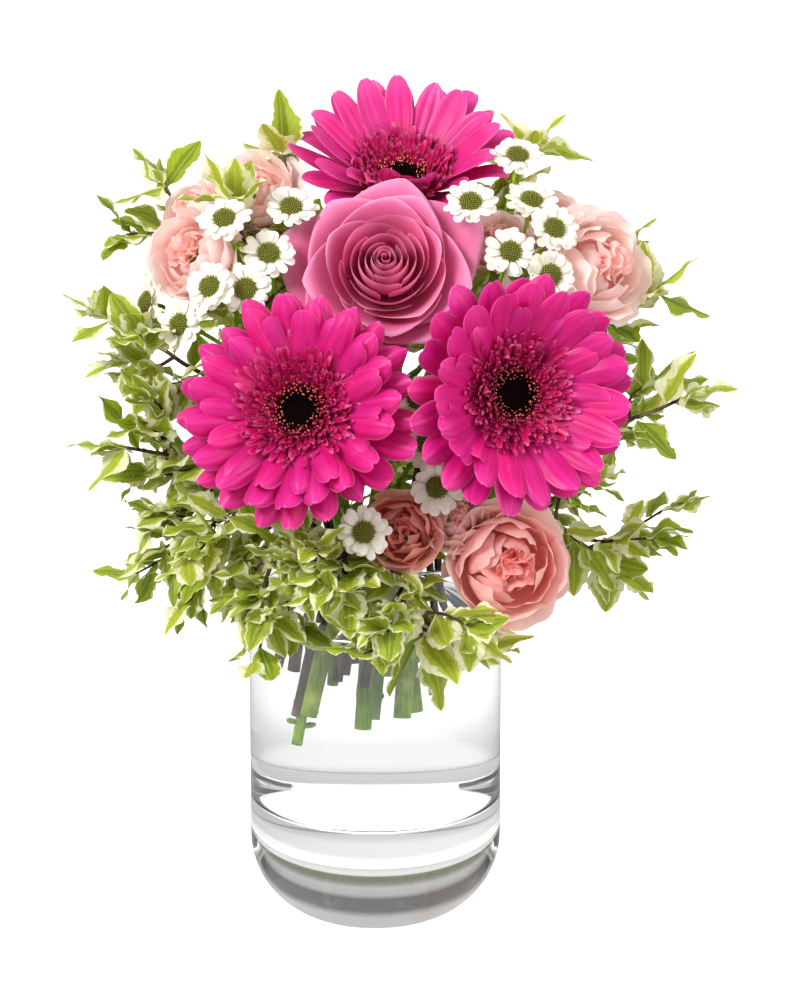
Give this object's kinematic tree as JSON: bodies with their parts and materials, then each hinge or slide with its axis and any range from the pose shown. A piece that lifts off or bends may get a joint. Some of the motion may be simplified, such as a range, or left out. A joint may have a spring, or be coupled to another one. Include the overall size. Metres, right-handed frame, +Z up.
{
  "type": "gerberas in a glass vase",
  "caption": "Mixed bunch of magenta gerberas, a pink rose, pale spray carnations, small white daisies and variegated foliage in a clear glass cylinder vase with water.",
  "frame": {"origin": "middle of the flat foot of the glass, on the surface it stands on", "axes": "+Z up, -Y towards the front of the bunch, which the two low gerberas face, +X to the right as seen from the front"},
  "size_m": [0.3148, 0.2536, 0.3976],
  "materials": {
    "glass": "clear, polished",
    "water": "clear water",
    "gerbera_petal": "soft satin petal",
    "gerbera_eye": "matt, velvety",
    "rose_petal": "velvety petal",
    "carnation_petal": "matt petal",
    "salmon_petal": "matt petal",
    "daisy_petal": "matt white petal with an olive-green eye",
    "leaf": "satin leaf, green with cream edges",
    "green_stem": "smooth green stem",
    "carnation_stem": "dull blue-green stem"
  },
  "bodies": {
    "root": {"vase": "glass", "water": "water", "gerbera_left_stem": "green_stem", "gerbera_left_disc": "gerbera_eye", "gerbera_left_rays": "gerbera_petal", "gerbera_right_stem": "green_stem", "gerbera_right_disc": "gerbera_eye", "gerbera_right_rays": "gerbera_petal", "gerbera_top_stem": "green_stem", "gerbera_top_disc": "gerbera_eye", "gerbera_top_rays": "gerbera_petal", "rose_stem": "green_stem", "rose_bloom": "rose_petal", "carnation_stem_left": "carnation_stem", "carnation_left_1": "carnation_petal", "carnation_left_2": "carnation_petal", "carnation_left_3": "carnation_petal", "carnation_stem_right": "carnation_stem", "carnation_right_1": "carnation_petal", "carnation_right_2": "carnation_petal", "carnation_right_3": "carnation_petal", "carnation_stem_low": "carnation_stem", "carnation_low_1": "carnation_petal", "carnation_low_2": "salmon_petal", "carnation_low_3": "carnation_petal", "carnation_stem_back": "carnation_stem", "carnation_back_1": "carnation_petal", "carnation_back_2": "carnation_petal", "daisy_spray_left": "daisy_petal", "daisy_spray_right": "daisy_petal", "daisy_spray_centre": "daisy_petal", "daisy_spray_back": "daisy_petal", "branch_left_upper": "leaf", "branch_left_crown": "leaf", "branch_left_middle": "leaf", "branch_left_low": "leaf", "branch_front_left": "leaf", "branch_front_middle": "leaf", "branch_front_right": "leaf", "branch_right_low": "leaf", "branch_right_middle": "leaf", "branch_right_upper": "leaf", "branch_top_left": "leaf", "branch_top_right": "leaf", "branch_between": "leaf", "branch_back_left": "leaf", "branch_back_right": "leaf", "branch_back_low": "leaf"}
  },
  "joints": []
}
